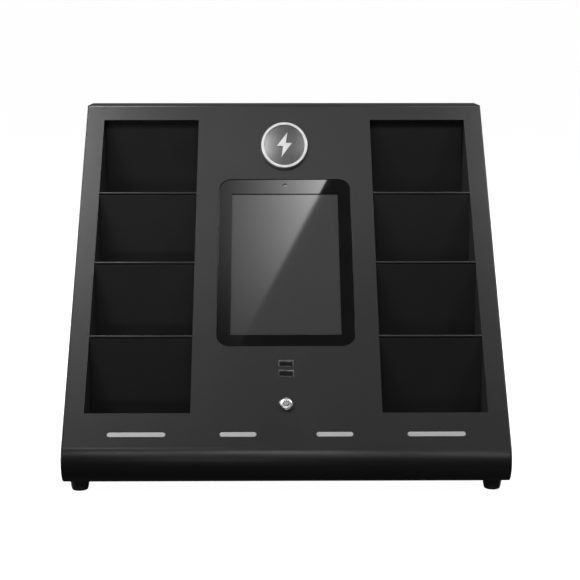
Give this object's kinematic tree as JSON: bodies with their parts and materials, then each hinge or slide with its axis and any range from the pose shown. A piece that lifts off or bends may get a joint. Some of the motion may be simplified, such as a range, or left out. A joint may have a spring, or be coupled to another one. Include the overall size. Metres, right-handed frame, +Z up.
{
  "type": "charging_kiosk",
  "caption": "Desktop phone charging kiosk: black wedge cabinet with open phone bays beside a portrait tablet, push button, light bars and rear service door",
  "frame": {"origin": "bottom centre of the bounding box", "axes": "+X right, +Y towards the rear, +Z up; the leaning face looks along -Y"},
  "size_m": [0.415, 0.3312, 0.3475],
  "materials": {
    "black_powder_coat": "matte",
    "tray_powder_coat": "matte",
    "black_rubber": "matte",
    "black_glass": "gloss",
    "grey_display": "gloss",
    "black_plastic": "matte",
    "lens_glass": "gloss",
    "bright_chrome": "gloss",
    "brushed_silver": "satin",
    "zinc_plate": "satin",
    "galvanised_steel": "satin",
    "socket_tongue": "matte",
    "badge_silver": "satin",
    "badge_steel": "satin",
    "frosted_diffuser": "satin",
    "board_green": "satin",
    "board_white": "satin",
    "cable_black": "matte",
    "battery_grey": "satin",
    "emblem_white": "satin"
  },
  "bodies": {
    "cabinet": {"front_shell": "black_powder_coat", "left_side_panel": "black_powder_coat", "right_side_panel": "black_powder_coat", "base_pan": "black_powder_coat", "rear_panel": "black_powder_coat", "left_tray_1": "tray_powder_coat", "left_tray_2": "tray_powder_coat", "left_tray_3": "tray_powder_coat", "left_tray_4": "tray_powder_coat", "right_tray_1": "tray_powder_coat", "right_tray_2": "tray_powder_coat", "right_tray_3": "tray_powder_coat", "right_tray_4": "tray_powder_coat", "left_outer_cheek": "tray_powder_coat", "left_inner_cheek": "tray_powder_coat", "right_inner_cheek": "tray_powder_coat", "right_outer_cheek": "tray_powder_coat", "tray_grommets": "black_rubber", "front_left_foot": "black_rubber", "front_right_foot": "black_rubber", "rear_left_foot": "black_rubber", "rear_right_foot": "black_rubber", "tablet_glass": "black_glass", "tablet_screen": "grey_display", "tablet_case": "black_plastic", "badge_base": "black_plastic", "power_inlet": "black_plastic", "switch_housing": "black_plastic", "tablet_camera": "lens_glass", "button_body": "bright_chrome", "badge_ring": "badge_silver", "badge_disc": "badge_steel", "hinge_frame_leaf": "zinc_plate", "hinge_pin": "zinc_plate", "bracket_studs": "zinc_plate", "foot_screws": "zinc_plate", "panel_screws": "zinc_plate", "usb_shells": "zinc_plate", "button_spring": "zinc_plate", "button_nut": "zinc_plate", "inlet_pins": "zinc_plate", "tablet_bracket": "galvanised_steel", "power_supply": "galvanised_steel", "usb_tongues": "socket_tongue", "long_light_bars": "frosted_diffuser", "short_light_bars": "frosted_diffuser", "usb_board": "board_green", "charger_board": "board_green", "led_strip": "board_white", "wiring_harness": "cable_black", "tablet_battery": "battery_grey", "badge_emblem": "emblem_white"},
    "rear_door_body": {"rear_door": "black_powder_coat", "hinge_door_leaf": "zinc_plate", "lock_body": "bright_chrome", "lock_nut": "zinc_plate"},
    "lock_body_turning": {"lock_plug": "bright_chrome", "lock_cam": "zinc_plate"},
    "button_moving": {"button_cap": "brushed_silver"},
    "rocker_moving": {"switch_rocker": "black_plastic"}
  },
  "joints": [
    {"name": "door_hinge", "type": "hinge", "parent": "cabinet", "child": "rear_door_body", "pos_m": [-0.151, 0.16315, 0.212], "axis": [0, 0, 1], "range_deg": [0, 110]},
    {"name": "lock_turn", "type": "hinge", "parent": "rear_door_body", "child": "lock_body_turning", "pos_m": [0.118, 0.16185, 0.212], "axis": [0, -1, 0], "range_deg": [0, 90]},
    {"name": "button_press", "type": "slide", "parent": "cabinet", "child": "button_moving", "axis": [0, 0.7396, -0.673], "range_m": [0, 0.0012], "stiffness_N_per_m": 400, "deforming": ["button_spring"]},
    {"name": "switch_tilt", "type": "hinge", "parent": "cabinet", "child": "rocker_moving", "pos_m": [-0.084, 0.15935, 0.06], "axis": [1, 0, 0], "range_deg": [0, 18]}
  ]
}
